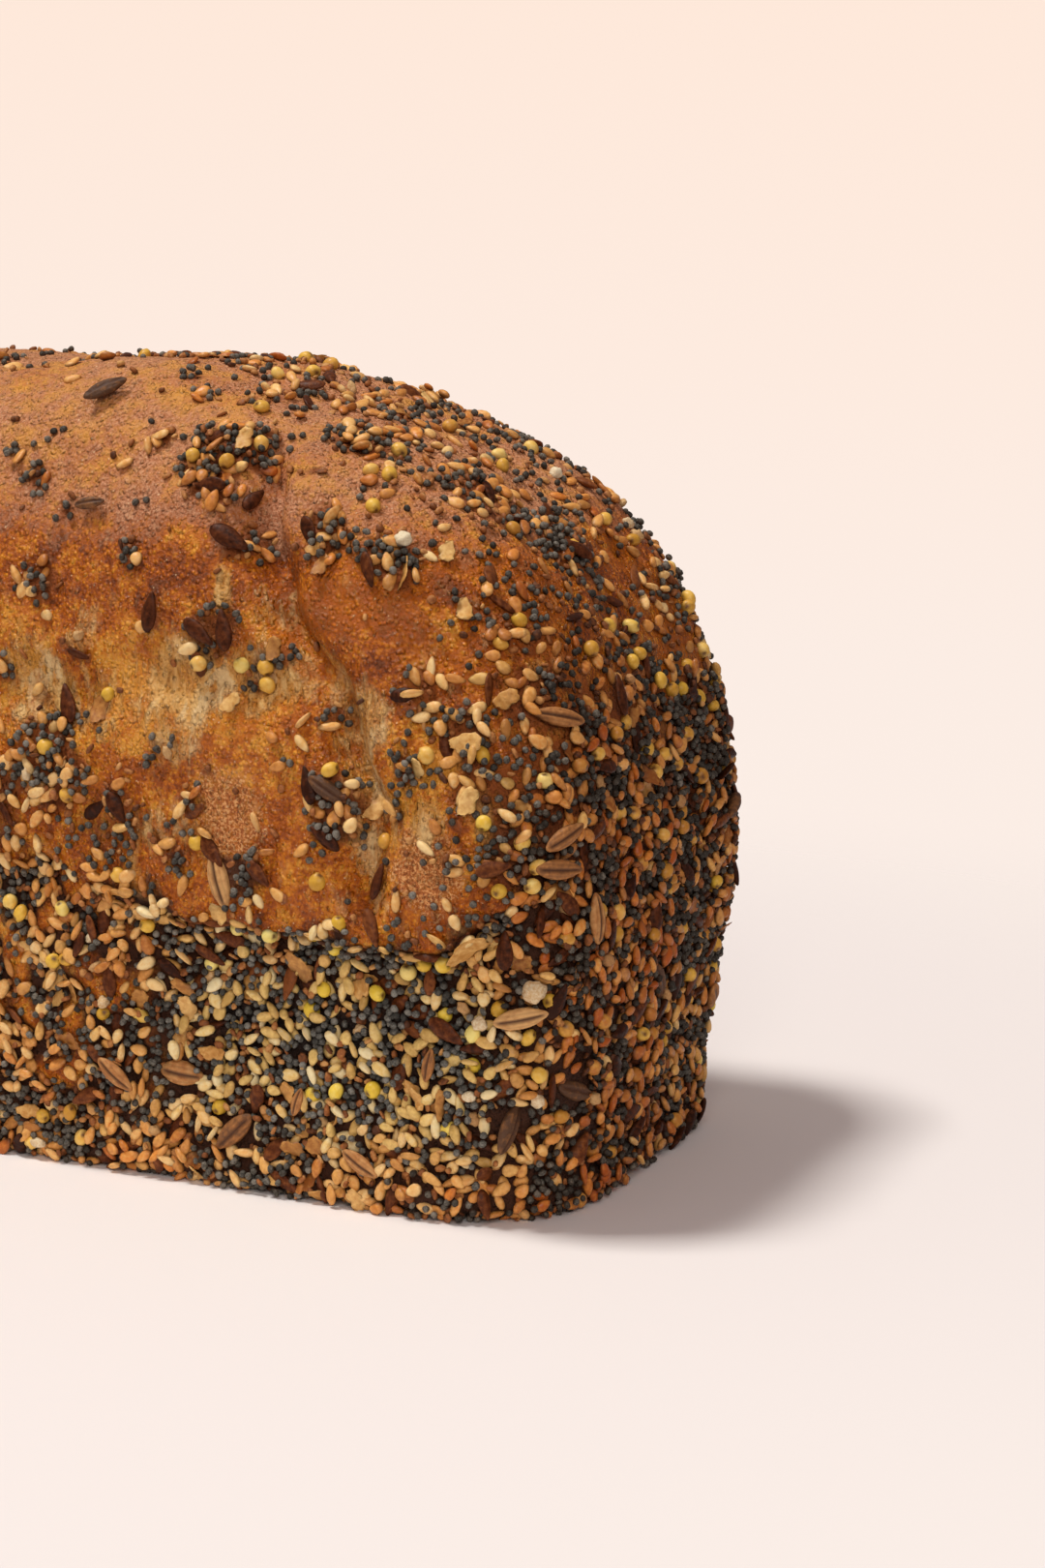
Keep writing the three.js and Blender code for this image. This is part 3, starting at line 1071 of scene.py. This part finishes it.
# Each ramp runs from a seed's darkest tone to its lightest.
POPPY_RAW = ((0.035, 0.034, 0.029), (0.105, 0.102, 0.088), (0.26, 0.25, 0.215))
POPPY_TOASTED = ((0.026, 0.018, 0.011), (0.080, 0.066, 0.048), (0.21, 0.18, 0.14))
SESAME_RAW = ((0.56, 0.34, 0.09), (0.86, 0.60, 0.20), (0.96, 0.83, 0.48))
SESAME_TOASTED = ((0.42, 0.09, 0.010), (0.76, 0.27, 0.045), (0.94, 0.56, 0.17))
MILLET_RAW = ((0.75, 0.48, 0.04), (0.90, 0.64, 0.06), (0.95, 0.82, 0.26))
MILLET_TOASTED = ((0.48, 0.17, 0.03), (0.80, 0.42, 0.08), (0.94, 0.66, 0.22))
FLAX = ((0.03, 0.008, 0.003), (0.105, 0.027, 0.008), (0.24, 0.075, 0.02))
KERNEL = ((0.10, 0.045, 0.02), (0.46, 0.19, 0.055), (0.74, 0.42, 0.16))
FLAKE = ((0.3, 0.09, 0.015), (0.60, 0.29, 0.07), (0.90, 0.60, 0.22))
GRIT = ((0.08, 0.025, 0.008), (0.36, 0.12, 0.03), (0.66, 0.34, 0.11))
CRUMB = ((0.45, 0.22, 0.08), (0.62, 0.38, 0.16), (0.88, 0.76, 0.52))


def seed_kinds():
    """Every kind of seed, largest first, since small ones fill the gaps that large ones leave."""
    return (
        # The kernels' mark colour is painted shade in their groove and between their ridges.
        dict(name="kernels", slot="kernel", shape=seed_shape(10, kernel),
             half=(3.6, 1.4, 0.9), spread=0.2, radius=2.1, per_mm2=0.0007, power=1.5,
             tilt=10, lift=(0.1, 0.5), tall=True,
             material=seed_material("kernel", KERNEL, KERNEL, 0.6, 0.8, 0.2, mark=(0.07, 0.025, 0.01))),
        dict(name="flax_seeds", slot="flax_seed", shape=seed_shape(4, flax),
             half=(2.1, 1.05, 0.5), spread=0.15, radius=1.05, per_mm2=0.015, power=1.2,
             tilt=22, lift=(0.0, 0.5),
             material=seed_material("flax_seed", FLAX, FLAX, 0.45, 0.6, 0.12, specular=0.12, mottle=0.35)),
        dict(name="flakes", slot="crumb", shape=seed_shape(5, flake),
             half=(1.5, 1.0, 0.14), spread=0.35, radius=0.9, per_mm2=0.007, power=0.7,
             tilt=22, lift=(0.1, 0.4),
             material=seed_material("flake", FLAKE, FLAKE, 0.5, 0.6, 0.08)),
        dict(name="sesame_seeds", slot="sesame_seed", shape=seed_shape(3, sesame),
             half=(1.24, 0.73, 0.44), spread=0.22, radius=0.61, per_mm2=0.28, power=1.3,
             tilt=30, lift=(0.1, 0.5), mix=(1.5, 0.3), at_end=0.6,
             material=seed_material("sesame_seed", SESAME_RAW, SESAME_TOASTED, 0.42, 0.6, 0.08,
                                    mark=(0.26, 0.09, 0.022))),
        dict(name="millet_seeds", slot="millet_seed", shape=seed_shape(4, millet),
             half=(1.08, 1.0, 0.92), spread=0.14, radius=0.88, per_mm2=0.036, power=1.1,
             tilt=60, lift=(0.2, 0.6), tall=True,
             material=seed_material("millet_seed", MILLET_RAW, MILLET_TOASTED, 0.42, 0.9, 0.05,
                                    mark=(0.12, 0.045, 0.015))),
        dict(name="crumbs", slot="crumb", shape=seed_shape(6, crumb),
             half=(0.9, 0.8, 0.7), spread=0.35, radius=0.6, per_mm2=0.006, power=1.0,
             tilt=60, lift=(0.1, 0.4),
             material=seed_material("crumb", CRUMB, CRUMB, 0.7, 0.3, 0.12)),
        dict(name="grit", slot="crumb", shape=seed_shape(2, grit),
             half=(0.6, 0.45, 0.3), spread=0.45, radius=0.32, per_mm2=0.2, power=0.8,
             tilt=50, lift=(0.0, 0.4),
             material=seed_material("grit", GRIT, GRIT, 0.6, 0.4, 0.1)),
        dict(name="poppy_seeds", slot="poppy_seed", shape=seed_shape(2, poppy),
             half=(0.53, 0.47, 0.43), spread=0.15, radius=0.38, per_mm2=1.05, power=1.5,
             tilt=60, lift=(0.1, 0.4), mix=(0.3, 2.2), at_end=1.1,
             material=seed_material("poppy_seed", POPPY_RAW, POPPY_TOASTED, 0.65, 0.25, 0.08, mottle=0.4)),
    )


RANDOM_SEED = 20
UPPER_SHARE = 0.55  # of the lower layer's crowding
UPPER_LIFT = 0.85  # above the lower layer
END_TOAST_AND_SHADE = 0.36  # how much darker seeds are on the near end's far part: browner toasting there, and painted shade of that end


def far_end(points):
    """1 on the near end away from its seen corner, where seeds are browner, partly as painted shade, and
    poppies more common.
    """
    return fade(82, 93, points[:, 0]) * fade(-37, -20, points[:, 1])


def lay_layer(rng, surface, kind, bed, other_bed, share=1.0, extra_lift=0.0):
    """Points, normals and lifts of one layer's seeds. Tall ones also take up room in the other bed."""
    density = kind["per_mm2"] * share * surface.coat ** kind["power"]
    away, within = kind.get("mix", (1.0, 1.0))
    density = density * (away + (within - away) * surface.clumps)
    density *= 1 + (kind.get("at_end", 1.0) - 1) * far_end(surface.points)
    if extra_lift:
        density = density * fade(0.6, 0.95, surface.coat)
    points, normals = surface.drop(rng, density)
    kept = [i for i, point in enumerate(points.tolist()) if bed.lay(point, kind["radius"])]
    if other_bed is not None:
        for i in kept:
            other_bed.lay(tuple(points[i]), kind["radius"])
    lift = rng.uniform(*kind["lift"], len(kept)) + extra_lift
    return points[kept], normals[kept], lift


def make_all_seeds(surface):
    rng = np.random.default_rng(RANDOM_SEED)
    lower, upper = SeedBed(), SeedBed()
    for name, spots in PLACED.items():
        for x, y, z, _, size, _ in spots:
            for bed in (lower, upper):
                bed.lay((x, y, z), size * PLACED_RADII[name])
    for kind in seed_kinds():
        under, over = (lower, upper) if kind.get("tall") else (None, None)
        layers = (
            lay_layer(rng, surface, kind, lower, over),
            lay_layer(rng, surface, kind, upper, under, UPPER_SHARE, UPPER_LIFT),
        )
        points, normals, lift = (np.concatenate(both) for both in zip(*layers))
        seeds = seat(rng, points, normals, kind["half"], kind["spread"], kind["tilt"], lift)
        # Seeds on the near end's far part are darkened, partly as painted shade of that end.
        tone = np.clip(rng.normal(0.5, 0.26, len(points)) - END_TOAST_AND_SHADE * far_end(points), 0, 1)
        spots = PLACED.get(kind["name"])
        if spots:
            placed = seat_placed(surface, spots, kind["half"])
            seeds = {key: np.concatenate([placed[key], seeds[key]]) for key in seeds}
            tone = np.concatenate([[spot[-1] for spot in spots], tone])
        toast = toast_of(rng, seeds["centre"])
        make_seeds(kind["name"], kind["shape"], seeds, tone, toast, kind["material"])


# ---- stage and light

FLOOR_COLOUR = (0.92, 0.875, 0.86)
# The background's colour by how far up a line of sight points.
BACKGROUND = (
    (-0.25, (0.965, 0.86, 0.80)),
    (-0.12, (0.97, 0.845, 0.775)),
    (-0.04, (0.985, 0.83, 0.74)),
    (0.07, (0.993, 0.81, 0.70)),
)
FLOOR_RADIUS = 3.0  # metres
FLOOR_SIDES = 64
FLOOR_ROUGHNESS = 0.75
FLOOR_FADE = (0.115, 0.27)  # metres from the loaf's middle, where the floor gives way to the background
AMBIENT = (1.0, 0.79, 0.78)
AMBIENT_STRENGTH = 0.22
SOFTBOX_DISTANCE = 3.0  # metres
# Name, direction from the loaf, size in metres, power and colour.
SOFTBOXES = (
    ("key", (-0.32, -0.17, 0.93), 0.6, 67.0, (1.0, 0.975, 0.93)),
    ("fill", (0.5, -0.75, 0.5), 1.4, 32.0, (1.0, 0.93, 0.87)),
)
LIT_SHARE = 0.6  # of the way from the loaf's middle to its near end, where the lights aim


def make_floor():
    """A plain pale disc that fades into the background away from the loaf."""
    mesh = bpy.data.meshes.new("floor")
    angles = np.arange(FLOOR_SIDES) * 2 * math.pi / FLOOR_SIDES
    ring = [(FLOOR_RADIUS * math.cos(angle), FLOOR_RADIUS * math.sin(angle), 0) for angle in angles]
    mesh.from_pydata(ring, [], [list(range(len(ring)))])
    shader = Shader("floor")
    away = shader.node("ShaderNodeVectorMath", {0: shader.place}, operation="LENGTH").outputs["Value"]
    near = shader.remap(away, *FLOOR_FADE, 1.0, 0.0, interpolation_type="SMOOTHSTEP")
    shader.feed(shader.surface.inputs["Base Color"], (*FLOOR_COLOUR, 1))
    shader.feed(shader.surface.inputs["Roughness"], FLOOR_ROUGHNESS)
    clear = shader.node("ShaderNodeBsdfTransparent").outputs[0]
    blend = shader.node("ShaderNodeMixShader", {0: near, 1: clear, 2: shader.surface.outputs[0]})
    shader.feed(shader.tree.nodes["Material Output"].inputs["Surface"], blend.outputs[0])
    mesh.materials.append(shader.material)
    floor = add_object("floor", mesh)


def make_world():
    """Soft light from all round, and a seamless pale peach behind."""
    world = bpy.data.worlds.new("studio")
    world.use_nodes = True
    world.node_tree.nodes.clear()
    nodes = Nodes(world.node_tree)
    sight = nodes.node("ShaderNodeTexCoord").outputs["Generated"]
    up = nodes.node("ShaderNodeSeparateXYZ", {0: sight}).outputs["Z"]
    lowest, highest = BACKGROUND[0][0], BACKGROUND[-1][0]
    stops = [((height - lowest) / (highest - lowest), colour) for height, colour in BACKGROUND]
    seen = {"Color": nodes.ramp(nodes.remap(up, lowest, highest), stops)}
    seen = nodes.node("ShaderNodeBackground", seen).outputs[0]
    ambient = {"Color": (*AMBIENT, 1), "Strength": AMBIENT_STRENGTH}
    ambient = nodes.node("ShaderNodeBackground", ambient).outputs[0]
    is_seen = nodes.node("ShaderNodeLightPath").outputs["Is Camera Ray"]
    both = nodes.node("ShaderNodeMixShader", {0: is_seen, 1: ambient, 2: seen}).outputs[0]
    nodes.node("ShaderNodeOutputWorld", {"Surface": both})
    bpy.context.scene.world = world


def make_softbox(name, direction, size, power, colour):
    """A square area light that faces the middle of the loaf's near half."""
    middle = Vector((LIT_SHARE * LOAF_HIGH[0], 0, HEIGHT / 2)) * MM
    data = bpy.data.lights.new(name, "AREA")
    data.size = size
    data.energy = power
    data.color = colour
    light = add_object(name, data)
    away = Vector(direction).normalized()
    light.location = middle + away * SOFTBOX_DISTANCE
    light.rotation_euler = away.to_track_quat("Z", "Y").to_euler()


def make_stage():
    make_floor()
    make_world()
    for softbox in SOFTBOXES:
        make_softbox(*softbox)
    bpy.context.scene.view_settings.view_transform = "Standard"


# ---- putting it together

crust_points, crust_quads, crust_coat = make_crust()
make_all_seeds(Surface(crust_points, crust_quads, crust_coat))
make_stage()
